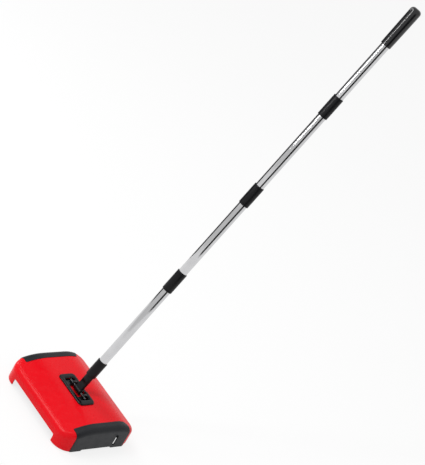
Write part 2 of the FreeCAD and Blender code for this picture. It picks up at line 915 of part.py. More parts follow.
def make_pan_release():
    """Lever, crank and link that drop both pans together, and their pins and springs."""
    shaft_span = ("pan_end - pan_ear_thick + snug", "crank_face + 0.5")
    crank_span = ("crank_face", "crank_face + crank_thick")
    pin_span = ("link_face - 0.6", "crank_face + 0.5")
    for end, sign in ENDS.items():
        shaft = rod_along_x(
            f"{end}_crank_shaft", "pan_shaft_radius", shaft_span, f"{sign} * pan_hinge_y",
            "pan_hinge_z",
        )
        disc = rod_along_x(
            f"{end}_crank_disc", "crank_radius", crank_span, f"{sign} * pan_hinge_y",
            "pan_hinge_z",
        )
        throw = f"pan_hinge_z - {sign} * crank_throw"
        web = box(
            f"{end}_crank_web",
            crank_span,
            (
                f"{sign} * pan_hinge_y - crank_web_half",
                f"{sign} * pan_hinge_y + crank_web_half",
            ),
            ("pan_hinge_z - crank_throw", "pan_hinge_z") if sign > 0
            else ("pan_hinge_z", "pan_hinge_z + crank_throw"),
        )
        eye = rod_along_x(
            f"{end}_crank_eye", "link_pin_radius * 2", crank_span, f"{sign} * pan_hinge_y", throw
        )
        pin = rod_along_x(
            f"{end}_crank_pin", "link_pin_radius", pin_span, f"{sign} * pan_hinge_y", throw
        )
        pieces = [shaft, disc, web, eye, pin]
        if sign < 0:
            sub_part(fused("front_pan_crank", pieces), "front_pan_crank")
            continue
        arm = box(
            "lever_arm",
            crank_span,
            ("pan_hinge_y - lever_radius - lever_tab_thick / 2", "pan_hinge_y"),
            ("pan_hinge_z - lever_arm_width / 2", "pan_hinge_z + lever_arm_width / 2"),
        )
        tab = box(
            "lever_tab",
            ("crank_face + crank_thick - 0.5", "body_length / 2 + cap_proud + lever_tab_out"),
            (
                "pan_hinge_y - lever_radius - lever_tab_thick / 2",
                "pan_hinge_y - lever_radius + lever_tab_thick / 2",
            ),
            ("pan_hinge_z - lever_tab / 2", "pan_hinge_z + lever_tab / 2"),
        )
        thumb = fused("lever_thumb", [arm, tab])
        hinge = FreeCAD.Vector(0, size("pan_hinge_y"), size("pan_hinge_z"))
        turn = FreeCAD.Rotation(FreeCAD.Vector(1, 0, 0), -size("lever_rest"))
        thumb.Placement = FreeCAD.Placement(FreeCAD.Vector(0, 0, 0), turn, hinge)
        sub_part(fused("pan_release_lever", pieces + [thumb]), "pan_release_lever")

    link_span = ("link_face", "link_face + link_thick")
    length = "2 * sqrt(pan_hinge_y ^ 2 + crank_throw ^ 2)"
    bar = box(
        "link_bar",
        ("0", "link_thick"),
        (f"-({length}) / 2", f"({length}) / 2"),
        ("-link_half_width", "link_half_width"),
    )
    ends = [
        rod_along_x(
            f"link_end_{end}", "link_half_width * 1.25", ("0", "link_thick"),
            f"{sign} * ({length}) / 2", "0",
        )
        for end, sign in ENDS.items()
    ]
    holes = [
        rod_along_x(
            "link_hole_front", "link_pin_radius + running_fit", ("-1", "link_thick + 1"),
            f"-({length}) / 2", "0",
        ),
        rod_along_x(
            "link_hole_rear", "link_pin_radius + link_play", ("-1", "link_thick + 1"),
            f"({length}) / 2", "0",
        ),
    ]
    link = cut("pan_link", fused("link_solid", [bar] + ends), holes)
    slope = -math.degrees(math.atan2(size("crank_throw"), size("pan_hinge_y")))
    link.Placement.Rotation = FreeCAD.Rotation(FreeCAD.Vector(1, 0, 0), slope)
    link.setExpression("Placement.Base.x", tied("link_face"))
    link.setExpression("Placement.Base.z", tied("pan_hinge_z"))
    sub_part(link, "pan_link")

    pins = [
        rod_along_x(
            f"pan_pin_{end}", "pan_shaft_radius",
            ("-frame_face - frame_thick - 2", "-pan_end + pan_ear_thick + snug"),
            f"{sign} * pan_hinge_y", "pan_hinge_z",
        )
        for end, sign in ENDS.items()
    ]
    sub_part(group("pan_pivot_pins", pins), "pan_pivot_pins")

    springs = []
    for end, sign in ENDS.items():
        pitch = size("spring_pitch")
        height = pitch * size("spring_turns")
        radius = size("spring_radius")
        helix = Part.makeHelix(pitch, height, radius)
        start = FreeCAD.Vector(radius, 0, 0)
        ring = Part.Wire(Part.makeCircle(size("spring_wire"), start, FreeCAD.Vector(0, 1, 0)))
        coil = DOC.addObject("Part::Feature", f"pan_spring_{end}")
        coil.Shape = Part.Wire(helix.Edges).makePipeShell([ring], True, True)
        place = FreeCAD.Vector(
            size("frame_face") + size("frame_thick") + size("spring_wire") + size("snug"),
            sign * size("pan_hinge_y"),
            size("pan_hinge_z"),
        )
        across = FreeCAD.Rotation(FreeCAD.Vector(0, 1, 0), 90)
        coil.Placement = FreeCAD.Placement(place, across)
        springs.append(coil)
    sub_part(group("pan_springs", springs), "pan_springs")


# ---------------------------------------------------------------- edge brushes

def make_edge_brushes():
    blocks = []
    tufts = []
    outer = "frame_face + frame_thick"
    for side, way in SIDES.items():
        for end, sign in ENDS.items():
            near = "frame_half - tuft_block_depth"
            span = (near, "frame_half") if sign > 0 else ("-frame_half", f"-({near})")
            blocks.append(box(
                f"block_{side}_{end}",
                outward(way, outer, f"{outer} + tuft_block_out"),
                span,
                ("tuft_block_foot", "tuft_block_top"),
            ))
            tufts.append(box(
                f"tuft_{side}_{end}",
                outward(way, f"{outer} + tuft_inset", f"{outer} + tuft_block_out - tuft_inset"),
                (f"{span[0]} + tuft_inset", f"{span[1]} - tuft_inset"),
                ("tuft_gap", "tuft_block_foot"),
            ))
    sub_part(group("edge_brush_blocks", blocks), "edge_brush_blocks")
    sub_part(group("edge_brush_tufts", tufts), "edge_brush_tufts")


# ---------------------------------------------------------------- handle pivot

def make_bezel():
    """A bevelled ring on the roof, with two ears that hold the pivot pin in the well."""
    body = new_body("bezel")
    sketch = sketch_on(body, "bezel_plan", "XY_Plane", "body_height")
    rectangle(
        sketch,
        ("-bezel_length / 2", "bezel_length / 2"),
        ("bezel_y - bezel_width / 2", "bezel_y + bezel_width / 2"),
    )
    block = pad(body, sketch, "bezel_rise")

    def upright(edge):
        return edge.BoundBox.XLength < 0.01 and edge.BoundBox.YLength < 0.01

    rounded = round_edges(body, block, upright, "bezel_corner")
    DOC.recompute()
    top = size("body_height") + size("bezel_rise")
    names = [
        f"Edge{i}" for i, edge in enumerate(rounded.Shape.Edges, start=1)
        if edge.BoundBox.ZMin > top - 0.01
    ]
    bevel = body.newObject("PartDesign::Chamfer", "bezel_edge")
    bevel.Base = (rounded, names)
    bevel.setExpression("Size", tied("bezel_bevel"))
    window = box(
        "bezel_window",
        ("-window_half", "window_half"),
        ("bezel_y - window_front + window_margin", "bezel_y + window_back"),
        ("body_height - 5", "body_height + 20"),
    )
    rear_slot = box(
        "bezel_rear_slot",
        ("-rear_slot_half", "rear_slot_half"),
        ("bezel_y + window_back - 1", "bezel_y + bezel_width / 2 + 1"),
        ("body_height + 0.6", "body_height + 20"),
    )
    paddle_relief = box(
        "bezel_paddle_relief",
        ("-rear_slot_half", "rear_slot_half"),
        ("bezel_y + window_back - 1", "bezel_y + window_back + window_margin * 2"),
        ("body_height - 5", "body_height + 20"),
    )
    ring = cut("bezel_ring", body, [window, rear_slot, paddle_relief])
    ears = [
        box(
            f"bezel_ear_{side}",
            outward(way, "ear_near", "ear_near + ear_thick"),
            ("pivot_y - ear_front", "bezel_y + window_back + 2"),
            ("ear_foot", "ear_top"),
        )
        for side, way in SIDES.items()
    ]
    bore = rod_along_x("bezel_bore", "pin_radius", ("-50", "50"), "pivot_y", "pivot_z")
    holes = [
        post(
            f"bezel_pilot_{side}_{end}",
            "screw_radius",
            f"{SIDES[side]} * bezel_screw_x",
            f"bezel_y + {ENDS[end]} * bezel_screw_y",
            ("body_height - 1", "body_height + 2.9"),
        )
        for side in SIDES
        for end in ENDS
    ]
    pilots = fused("bezel_pilots", holes)
    sub_part(cut("pivot_bezel", fused("bezel_solid", [ring] + ears), [bore, pilots]), "pivot_bezel")


def make_pivot_pin():
    pin = rod_along_x("pivot_rod", "pin_radius", ("-pin_half", "pin_half"), "pivot_y", "pivot_z")
    sub_part(pin, "pivot_pin")
    rings = []
    for side, way in SIDES.items():
        ring = turned(f"pin_clip_{side}", [
            ("pin_radius", "ear_near + ear_thick"),
            ("pin_clip_radius", "ear_near + ear_thick"),
            ("pin_clip_radius", "ear_near + ear_thick + pin_clip_thick"),
            ("pin_radius", "ear_near + ear_thick + pin_clip_thick"),
        ])
        rings.append(face_outwards(ring, way, "pivot_y", "pivot_z"))
    sub_part(group("pivot_pin_clips", rings), "pivot_pin_clips")


def make_knuckle():
    """Barrel across the pin, a flat paddle up to a round arm, and a spigot for the tube."""
    barrel = rod_along_x("knuckle_barrel", "knuckle_barrel", ("-knuckle_half", "knuckle_half"), "0", "0")
    paddle = box(
        "knuckle_paddle",
        ("-paddle_half_width", "paddle_half_width"),
        ("-paddle_half_thick", "paddle_half_thick"),
        ("0", "paddle_end + arm_root"),
    )
    arm = turned("knuckle_arm", [
        ("0", "paddle_end - arm_swell"),
        ("paddle_half_thick", "paddle_end - arm_swell"),
        ("arm_round", "paddle_end"),
        ("arm_round", "sleeve_foot"),
        ("tube_radius - tube_wall - spigot_play", "sleeve_foot"),
        ("tube_radius - tube_wall - spigot_play", "spigot_end"),
        ("0", "spigot_end"),
    ])
    bore = rod_along_x("knuckle_bore", "pin_radius + running_fit", ("-30", "30"), "0", "0")
    knuckle = cut("handle_knuckle", fused("knuckle_solid", [barrel, paddle, arm]), [bore])
    sub_part(on_handle(knuckle), "handle_knuckle")


# ---------------------------------------------------------------- handle

TUBES = ("lower", "lower_middle", "upper_middle", "top")
JOINTS = ("lower", "middle", "upper")


def make_handle():
    bore = "tube_radius + tube_fit"
    sleeve = turned("socket_sleeve", [
        (bore, "sleeve_foot"),
        ("sleeve_radius - joint_bevel", "sleeve_foot"),
        ("sleeve_radius", "sleeve_foot + joint_bevel"),
        ("sleeve_radius", "sleeve_top - joint_bevel"),
        ("sleeve_radius - joint_bevel", "sleeve_top"),
        (bore, "sleeve_top"),
    ])
    sub_part(on_handle(sleeve), "socket_sleeve")
    for index, name in enumerate(JOINTS):
        middle = f"(first_joint + {index} * joint_pitch)"
        foot = f"{middle} - joint_length / 2"
        top = f"{middle} + joint_length / 2"
        joint = turned(f"{name}_connector", [
            ("0", f"{middle} - joint_web / 2"),
            (bore, f"{middle} - joint_web / 2"),
            (bore, foot),
            ("sleeve_radius - joint_bevel", foot),
            ("sleeve_radius", f"{foot} + joint_bevel"),
            ("sleeve_radius", f"{top} - joint_bevel"),
            ("sleeve_radius - joint_bevel", top),
            (bore, top),
            (bore, f"{middle} + joint_web / 2"),
            ("0", f"{middle} + joint_web / 2"),
        ])
        sub_part(on_handle(joint), f"{name}_connector")
    for index, name in enumerate(TUBES):
        low = "sleeve_foot" if index == 0 else f"first_joint + {index - 1} * joint_pitch + joint_web / 2"
        high = f"first_joint + {index} * joint_pitch - joint_web / 2"
        if index == len(TUBES) - 1:
            high = "grip_top - grip_cap"
        tube = turned(f"{name}_tube", [
            ("tube_radius - tube_wall", low),
            ("tube_radius", low),
            ("tube_radius", high),
            ("tube_radius - tube_wall", high),
        ])
        sub_part(on_handle(tube), f"{name}_tube")
    grip = turned("grip", [
        (bore, "grip_foot"),
        ("grip_radius - joint_bevel", "grip_foot"),
        ("grip_radius", "grip_foot + joint_bevel"),
        ("grip_radius", "grip_top"),
        ("0", "grip_top"),
        ("0", "grip_top - grip_cap"),
        (bore, "grip_top - grip_cap"),
    ])
    DOC.recompute()
    top = size("grip_top")
    round_edges(
        grip,
        grip.Tip,
        lambda edge: edge.BoundBox.ZMin > top - 0.01 and edge.BoundBox.XLength > 20,
        "grip_dome",
    )
    sub_part(on_handle(grip), "grip")


# ---------------------------------------------------------------- build

def build():
    make_top_housing()
    for side, way in SIDES.items():
        make_end_cap(f"{side}_end_cap", way)
        make_side_frame(f"{side}_side_frame", way)
    make_screws()
    make_brush()
    for end in ENDS:
        for side in SIDES:
            make_wheel(end, side)
        make_dust_pan(end)
    make_axles()
    make_pan_release()
    make_edge_brushes()
    make_bezel()
    make_pivot_pin()
    make_knuckle()
    make_handle()
    DOC.recompute()


def check():
    """Stops before anything is written if any object failed."""
    for thing in DOC.Objects:
        if "Invalid" in thing.State or "Error" in thing.State:
            raise RuntimeError(f"{thing.Name} ({thing.Label}) did not build: {thing.State}")
    for piece in SUB_PARTS:
        if piece.Shape.isNull() or not piece.Shape.isValid():
            raise RuntimeError(f"{piece.Label} has no valid shape")


def write():
    os.makedirs("parts", exist_ok=True)
    for piece in SUB_PARTS:
        piece.Shape.exportStep(f"parts/{piece.Label}.step")
        print(f"{piece.Label}: {len(piece.Shape.Solids)} solids, {piece.Shape.Volume / 1000:.2f} cm3")


build()
check()
write()
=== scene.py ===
"""Carpet sweeper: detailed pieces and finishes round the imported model. Metres, +Z up.

The body lies along X, its front faces -Y, and the handle leans back towards +Y.
"""
import math

import bmesh
import bpy
import numpy as np
from mathutils import Matrix, Vector


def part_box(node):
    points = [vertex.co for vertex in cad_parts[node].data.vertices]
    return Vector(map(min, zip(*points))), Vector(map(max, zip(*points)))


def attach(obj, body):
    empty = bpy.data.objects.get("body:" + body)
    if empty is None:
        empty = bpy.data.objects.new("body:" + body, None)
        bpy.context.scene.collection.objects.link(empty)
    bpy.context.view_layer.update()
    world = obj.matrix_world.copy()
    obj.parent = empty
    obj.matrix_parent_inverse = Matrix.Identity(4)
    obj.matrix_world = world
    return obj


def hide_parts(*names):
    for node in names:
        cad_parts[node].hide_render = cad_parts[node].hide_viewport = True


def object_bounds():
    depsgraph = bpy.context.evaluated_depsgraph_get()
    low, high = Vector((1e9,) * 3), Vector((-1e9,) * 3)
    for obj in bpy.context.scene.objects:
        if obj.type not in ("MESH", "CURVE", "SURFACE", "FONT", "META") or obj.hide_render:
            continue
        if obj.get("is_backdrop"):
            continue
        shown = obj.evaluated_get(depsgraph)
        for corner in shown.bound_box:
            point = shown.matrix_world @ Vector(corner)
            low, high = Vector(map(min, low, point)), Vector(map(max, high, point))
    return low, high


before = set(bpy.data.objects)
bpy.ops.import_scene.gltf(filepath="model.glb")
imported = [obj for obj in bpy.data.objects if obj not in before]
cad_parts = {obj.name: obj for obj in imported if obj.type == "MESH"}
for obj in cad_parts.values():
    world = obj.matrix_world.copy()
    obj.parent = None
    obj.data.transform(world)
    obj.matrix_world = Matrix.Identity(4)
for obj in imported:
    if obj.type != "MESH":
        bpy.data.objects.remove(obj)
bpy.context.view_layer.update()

MM = 0.001
rng = np.random.default_rng(7)

# Sizes of the body, in metres
CAP_PROUD = 0.8 * MM
HALF_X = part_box("right_end_cap")[1].x - CAP_PROUD
HALF_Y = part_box("top_housing")[1].y
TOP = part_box("pivot_bezel")[1].z - 4.9 * MM
WALL = 2.4 * MM
FRONT_CORNER = 38 * MM
BACK_CORNER = 28 * MM
RIM = 12 * MM
FRONT_SLOPE = 0.30
BACK_SLOPE = 0.389
CROWN_FRONT = -42 * MM
CROWN_BACK = 62 * MM
SKIRT = 2.6 * MM
CAP_SKIRT = 2 * MM
CAP_INNER = HALF_X - 23 * MM
CAP_FRONT = -77 * MM
CAP_BACK = 76 * MM
SEAM = 0.35 * MM

# The handle's pivot and lean
PIVOT = np.array([0, 3 * MM, 64 * MM])
LEAN = math.radians(72)
TUBE_R = 11 * MM
SLEEVE_R = 12.75 * MM
GRIP_R = 14 * MM


# ------------------------------------------------------------------ meshes

def make_object(name, vertices, faces, smooth_angle=35):
    """A mesh object at the origin; faces are turned outwards and edges sharper than the angle split."""
    mesh = bpy.data.meshes.new(name)
    mesh.from_pydata(np.asarray(vertices, float).tolist(), [], faces)
    tidy = bmesh.new()
    tidy.from_mesh(mesh)
    bmesh.ops.remove_doubles(tidy, verts=tidy.verts, dist=1e-7)
    bmesh.ops.dissolve_degenerate(tidy, edges=tidy.edges, dist=1e-8)
    bmesh.ops.recalc_face_normals(tidy, faces=tidy.faces)
    tidy.to_mesh(mesh)
    tidy.free()
    shade(mesh, smooth_angle)
    piece = bpy.data.objects.new(name, mesh)
    bpy.context.scene.collection.objects.link(piece)
    return piece


def shade(mesh, angle):
    """Smooth faces, with the edges sharper than the angle kept sharp."""
    mesh.polygons.foreach_set("use_smooth", np.ones(len(mesh.polygons), bool))
    mesh.set_sharp_from_angle(angle=math.radians(angle))


def grid_faces(rows, columns, start=0, wrap=True):
    """Quads between neighbouring rows of a grid, whose columns close on themselves if wrapped."""
    row = np.arange(rows - 1)[:, None]
    span = columns if wrap else columns - 1
    column = np.arange(span)[None, :]
    following = (column + 1) % columns
    quads = np.stack([
        row * columns + column,
        row * columns + following,
        (row + 1) * columns + following,
        (row + 1) * columns + column,
    ], axis=-1)
    return (quads.reshape(-1, 4) + start).tolist()


def loft(name, loops, closed=False, smooth_angle=35):
    """A skin through loops of points; the ends are filled, or joined when closed."""
    loops = np.asarray(loops, float)
    rows, columns = loops.shape[:2]
    if closed:
        loops = np.concatenate([loops, loops[:1]])
        rows += 1
    faces = grid_faces(rows, columns)
    if not closed:
        faces.append(list(range(columns))[::-1])
        faces.append(list(range((rows - 1) * columns, rows * columns)))
    return make_object(name, loops.reshape(-1, 3), faces, smooth_angle)


def joined(name, pieces):
    """One object from several, for closed shells that make up one piece."""
    mesh = bpy.data.meshes.new(name)
    whole = bmesh.new()
    for piece in pieces:
        whole.from_mesh(piece.data)
        bpy.data.objects.remove(piece)
    whole.to_mesh(mesh)
    whole.free()
    shade(mesh, 35)
    result = bpy.data.objects.new(name, mesh)
    bpy.context.scene.collection.objects.link(result)
    return result


def carve(target, tool, operation="DIFFERENCE"):
    """Cuts, joins or intersects the target with the tool, and removes the tool."""
    change = target.modifiers.new("carve", "BOOLEAN")
    change.operation = operation
    change.solver = "EXACT"
    change.object = tool
    graph = bpy.context.evaluated_depsgraph_get()
    mesh = bpy.data.meshes.new_from_object(target.evaluated_get(graph))
    target.modifiers.clear()
    target.data = mesh
    bpy.data.objects.remove(tool)
    return target


def soften(piece, width, angle=40, segments=2):
    """Rounds the sharp edges with a small bevel and evens the shading."""
    shade(piece.data, angle)
    edge = piece.modifiers.new("edge", "BEVEL")
    edge.width = width
    edge.segments = segments
    edge.limit_method = "ANGLE"
    edge.angle_limit = math.radians(angle)
    edge.harden_normals = False
    even = piece.modifiers.new("even", "WEIGHTED_NORMAL")
    even.keep_sharp = True
    return piece


def rounded_loop(corners, radii, steps=8):
    """A polygon's outline with each corner rounded by an arc tangent to its two sides."""
    corners = np.asarray(corners, float)
    outline = []
    for index, corner in enumerate(corners):
        before = corners[index - 1] - corner
        after = corners[(index + 1) % len(corners)] - corner
        before /= np.linalg.norm(before)
        after /= np.linalg.norm(after)
        half = math.acos(np.clip(before @ after, -1, 1)) / 2
        radius = radii[index] if np.ndim(radii) else radii
        reach = radius / math.tan(half)
        bisector = (before + after) / np.linalg.norm(before + after)
        centre = corner + bisector * radius / math.sin(half)
        start = corner + before * reach - centre
        end = corner + after * reach - centre
        first = math.atan2(start[1], start[0])
        sweep = (math.atan2(end[1], end[0]) - first + math.pi) % (2 * math.pi) - math.pi
        turns = first + sweep * np.linspace(0, 1, steps)
        outline.append(centre + radius * np.stack([np.cos(turns), np.sin(turns)], 1))
    return np.concatenate(outline)


def prism(name, outline, low, high, axis="Z"):
    """A flat outline carried straight along one axis."""
    flat = np.asarray(outline, float)
    order = {"Z": (0, 1, 2), "X": (1, 2, 0), "Y": (0, 2, 1)}[axis]
    loops = []
    for level in (low, high):
        points = np.zeros((len(flat), 3))
        points[:, order[0]] = flat[:, 0]
        points[:, order[1]] = flat[:, 1]
        points[:, order[2]] = level
        loops.append(points)
    return loft(name, loops, smooth_angle=30)


def rectangle(x, y):
    return [(x[0], y[0]), (x[1], y[0]), (x[1], y[1]), (x[0], y[1])]


def turned(name, profile, place, sides=72, closed=False):
    """A profile of (radius, height) pairs turned about an axis.

    Point = radius * (cos, sin) of the turn across the axis, plus height along it; place
    carries the result into the body's frame.
    """
    profile = np.asarray(profile, float)
    turn = np.linspace(0, 2 * math.pi, sides, endpoint=False)
    ring = np.stack([np.cos(turn), np.sin(turn)], 1)
    loops = np.zeros((len(profile), sides, 3))
    loops[:, :, :2] = profile[:, None, :1] * ring[None]
    loops[:, :, 2] = profile[:, None, 1]
    return loft(name, place(loops), closed=closed)


def up_handle(points):
    """From the handle's own frame, with its +Z up the handle from the pivot, to the body's."""
    x, y, z = np.moveaxis(points, -1, 0)
    back = y * math.sin(LEAN) + z * math.cos(LEAN)
    up = -y * math.cos(LEAN) + z * math.sin(LEAN)
    return np.stack([x, back, up], -1) + PIVOT


def along_x(y, z, side=1):
    """Lays a turned shape along X, its own +Z pointing away from the middle."""
    def place(points):
        a, b, c = np.moveaxis(points, -1, 0)
        return np.stack([side * c, side * a + y, b + z], -1)
    return place


def eased(profile, radius, steps=5):
    """An open or closed profile with its corners rounded."""
    return rounded_loop(profile, radius, steps)


# ------------------------------------------------------------------ materials

def material(name, base, roughness, metallic=0.0, gloss=0.5):
    """A new material with these plain values; returns it with its nodes to build on."""
    new = bpy.data.materials.new(name)
    new.use_nodes = True
    nodes = new.node_tree.nodes
    shader = nodes["Principled BSDF"]
    shader.inputs["Base Color"].default_value = (*base, 1)
    shader.inputs["Roughness"].default_value = roughness
    shader.inputs["Metallic"].default_value = metallic
    shader.inputs["Specular IOR Level"].default_value = gloss
    new.diffuse_color = (*base, 1)
    return new


def noise(new, scale, detail=4.0, stretch=(1, 1, 1), turn=(0, 0, 0)):
    """A noise on the object's own coordinates, stretched and turned."""
    nodes, links = new.node_tree.nodes, new.node_tree.links
    coordinates = nodes.new("ShaderNodeTexCoord")
    mapping = nodes.new("ShaderNodeMapping")
    mapping.inputs["Scale"].default_value = stretch
    mapping.inputs["Rotation"].default_value = turn
    pattern = nodes.new("ShaderNodeTexNoise")
    pattern.inputs["Scale"].default_value = scale
    pattern.inputs["Detail"].default_value = detail
    links.new(coordinates.outputs["Object"], mapping.inputs["Vector"])
    links.new(mapping.outputs["Vector"], pattern.inputs["Vector"])
    return pattern.outputs["Fac"]


def spread(new, value, low, high, start=0.3, end=0.7):
    """The value between start and end carried to the range from low to high."""
    step = new.node_tree.nodes.new("ShaderNodeMapRange")
    step.inputs["From Min"].default_value = start
    step.inputs["From Max"].default_value = end
    step.inputs["To Min"].default_value = low
    step.inputs["To Max"].default_value = high
    new.node_tree.links.new(value, step.inputs["Value"])
    return step.outputs["Result"]


def tint(new, value, dark, light):
    """Base colour that runs from dark to light with the value."""
    mix = new.node_tree.nodes.new("ShaderNodeMix")
    mix.data_type = "RGBA"
    mix.inputs["A"].default_value = (*dark, 1)
    mix.inputs["B"].default_value = (*light, 1)
    new.node_tree.links.new(value, mix.inputs["Factor"])
    shader = new.node_tree.nodes["Principled BSDF"]
    new.node_tree.links.new(mix.outputs["Result"], shader.inputs["Base Color"])


def roughen(new, value, low, high):
    shader = new.node_tree.nodes["Principled BSDF"]
    new.node_tree.links.new(spread(new, value, low, high), shader.inputs["Roughness"])


def relief(new, values, strength, distance):
    """Bump from the sum of the values."""
    nodes, links = new.node_tree.nodes, new.node_tree.links
    total = values[0]
    for value in values[1:]:
        add = nodes.new("ShaderNodeMath")
        links.new(total, add.inputs[0])
        links.new(value, add.inputs[1])
        total = add.outputs[0]
    bump = nodes.new("ShaderNodeBump")
    bump.inputs["Strength"].default_value = strength
    bump.inputs["Distance"].default_value = distance
    links.new(total, bump.inputs["Height"])
    links.new(bump.outputs["Normal"], nodes["Principled BSDF"].inputs["Normal"])


def shifted(colour, factor):
    return tuple(min(1.0, channel * factor) for channel in colour)


def moulded(name, colour, roughness, grain=900, depth=0.00004, strength=0.25, gloss=0.3, vary=0.08):
    """Moulded plastic: faint cloudy colour, uneven gloss, fine grain and a slow ripple."""
    new = material(name, colour, roughness, gloss=gloss)
    cloud = noise(new, 14, 3)
    tint(new, spread(new, cloud, 0, 1), shifted(colour, 1 - vary), shifted(colour, 1 + vary))
    roughen(new, noise(new, 60, 5), roughness * 0.85, roughness * 1.2)
    relief(new, [noise(new, grain, 2), noise(new, 40, 1)], strength, depth)
    return new


def metal(name, colour, roughness, stretch, turn=(0, 0, 0), strength=0.12):
    """Bright metal with fine lines drawn along one way and faint cloudy gloss."""
    new = material(name, colour, roughness, metallic=1.0)
    lines = noise(new, 260, 4, stretch, turn)
    tint(new, spread(new, noise(new, 30, 3), 0, 1), shifted(colour, 0.95), shifted(colour, 1.04))
    roughen(new, lines, roughness * 0.7, roughness * 1.5)
    relief(new, [lines], strength, 0.00002)
    return new


# ------------------------------------------------------------------ body shell

def crown(y, inset=0.0):
    """Height of the roof: level in the middle, falling away in front and behind.

    Each fall is a straight slope that starts with a parabola, so it has no crease.
    """
    def fall(distance, slope, blend):
        eased_part = slope * (distance + blend) ** 2 / (4 * blend)
        straight = slope * distance
        return np.where(distance > blend, straight, np.where(distance < -blend, 0, eased_part))
    front = fall(CROWN_FRONT - y, FRONT_SLOPE, 24 * MM)
    back = fall(y - CROWN_BACK, BACK_SLOPE, 18 * MM)
    return TOP - inset - front - back


def plan_outline(inset, steps=14):
    """The body's plan as points and outward normals: straight sides and four round corners."""
    centres = [
        (HALF_X - FRONT_CORNER, -HALF_Y + FRONT_CORNER, FRONT_CORNER, -90),
        (HALF_X - BACK_CORNER, HALF_Y - BACK_CORNER, BACK_CORNER, 0),
        (-HALF_X + BACK_CORNER, HALF_Y - BACK_CORNER, BACK_CORNER, 90),
        (-HALF_X + FRONT_CORNER, -HALF_Y + FRONT_CORNER, FRONT_CORNER, 180),
    ]
    points = []
    normals = []
    for index, (x, y, radius, start) in enumerate(centres):
        turn = np.radians(start + np.linspace(0, 90, steps))
        normal = np.stack([np.cos(turn), np.sin(turn)], 1)
        arc = np.array([x, y]) + (radius - inset) * normal
        following = centres[(index + 1) % 4]
        after = math.radians(following[3])
        goal = np.array(following[:2])
        goal = goal + (following[2] - inset) * np.array([math.cos(after), math.sin(after)])
        count = 24 if index in (1, 3) else 16
        share = np.linspace(0, 1, count + 1)[1:-1, None]
        side = arc[-1] + (goal - arc[-1]) * share
        points += [arc, side]
        normals += [normal, np.repeat(normal[-1:], len(side), 0)]
    return np.concatenate(points), np.concatenate(normals)


def shell_solid(name, inset, foot):
    """The crowned body as one closed solid, drawn in by the inset.

    Rings follow the plan outline: up the wall, over a quarter-round rim, then in towards a
    spine along the middle; the height is the crown's at each point.
    """
    outline, normals = plan_outline(inset)
    rim = RIM - inset
    loops = []

    def ring(plan, height):
        loops.append(np.column_stack([plan, height * np.ones(len(plan))]))

    edge_height = crown(outline[:, 1], inset) - rim
    for share in np.linspace(0, 1, 6):
        ring(outline, foot + share * (edge_height - foot))
    for angle in np.radians(np.linspace(0, 90, 10)[1:]):
        plan = outline - normals * rim * (1 - math.cos(angle))
        ring(plan, crown(plan[:, 1], inset) - rim * (1 - math.sin(angle)))
    inner = outline - normals * rim
    spine = np.column_stack([np.clip(inner[:, 0], -60 * MM, 60 * MM), np.zeros(len(inner))])
    for share in np.linspace(0, 1, 36)[1:]:
        plan = inner + (spine - inner) * share
        ring(plan, crown(plan[:, 1], inset))
    floor_spine = np.column_stack([spine, np.full(len(spine), foot)])
    loops = [floor_spine] + loops
    vertices = np.concatenate(loops)
    return make_object(name, vertices, grid_faces(len(loops), len(outline)))


def cap_zone(name, side, growth):
    """The upright block that an end cap fills, with its two inner corners rounded."""
    inner = CAP_INNER - growth
    outer = HALF_X + 20 * MM
    back = CAP_BACK + growth
    corners = [
        (inner, CAP_FRONT - growth),
        (outer, CAP_FRONT - growth),
        (outer, back + 11.2 * MM),
        (inner, back),
    ]
    outline = rounded_loop(corners, [2.5 * MM + growth, 1 * MM, 1 * MM, 13 * MM + growth], 10)
    outline[:, 0] *= side
    return prism(name, outline, -20 * MM, 100 * MM)


def red_housing():
    shell = shell_solid("red_housing", 0, SKIRT)
    carve(shell, shell_solid("housing_hollow", WALL, -10 * MM))
    well = rectangle((-42 * MM, 42 * MM), (-19 * MM, 18 * MM))
    carve(shell, prism("well_block", rounded_loop(well, 3 * MM, 5), 53.8 * MM, TOP - 1 * MM), "UNION")
    hollow = rectangle((-40 * MM, 40 * MM), (-17 * MM, 16 * MM))
    carve(shell, prism("well_hollow", rounded_loop(hollow, 2.5 * MM, 5), 55.8 * MM, 90 * MM))
    for side in (-1, 1):
        carve(shell, cap_zone("zone", side, SEAM))
    mouth = rectangle((-92 * MM, 92 * MM), (-20 * MM, 21 * MM))
    carve(shell, prism("mouth", rounded_loop(mouth, 4 * MM, 6), -HALF_Y - 9 * MM, -HALF_Y + 26 * MM, "Y"))
    gap = rectangle((-HALF_X - 9 * MM, HALF_X + 9 * MM), (CAP_BACK + 10 * MM, HALF_Y + 9 * MM))
    carve(shell, prism("back_gap", gap, -9 * MM, 8 * MM))
    return soften(shell, 0.5 * MM)


def end_cap(name, side):
    shell = shell_solid(name, -CAP_PROUD, CAP_SKIRT)
    carve(shell, shell_solid("cap_hollow", WALL, -10 * MM))
    carve(shell, cap_zone("zone", side, 0), "INTERSECT")
    arch = rectangle((-44 * MM, 46 * MM), (-20 * MM, 5.5 * MM))
    span = sorted((side * (CAP_INNER - 5 * MM), side * (HALF_X + 9 * MM)))
    carve(shell, prism("arch", rounded_loop(arch, 2 * MM, 5), span[0], span[1], "X"))
    if side > 0:
        slot = rectangle((46.2 * MM, 53.0 * MM), (10.9 * MM, 40.6 * MM))
        carve(shell, prism("slot", rounded_loop(slot, 1.6 * MM, 5), HALF_X - 9 * MM, HALF_X + 9 * MM, "X"))
    return soften(shell, 0.55 * MM)


# ------------------------------------------------------------------ handle pivot

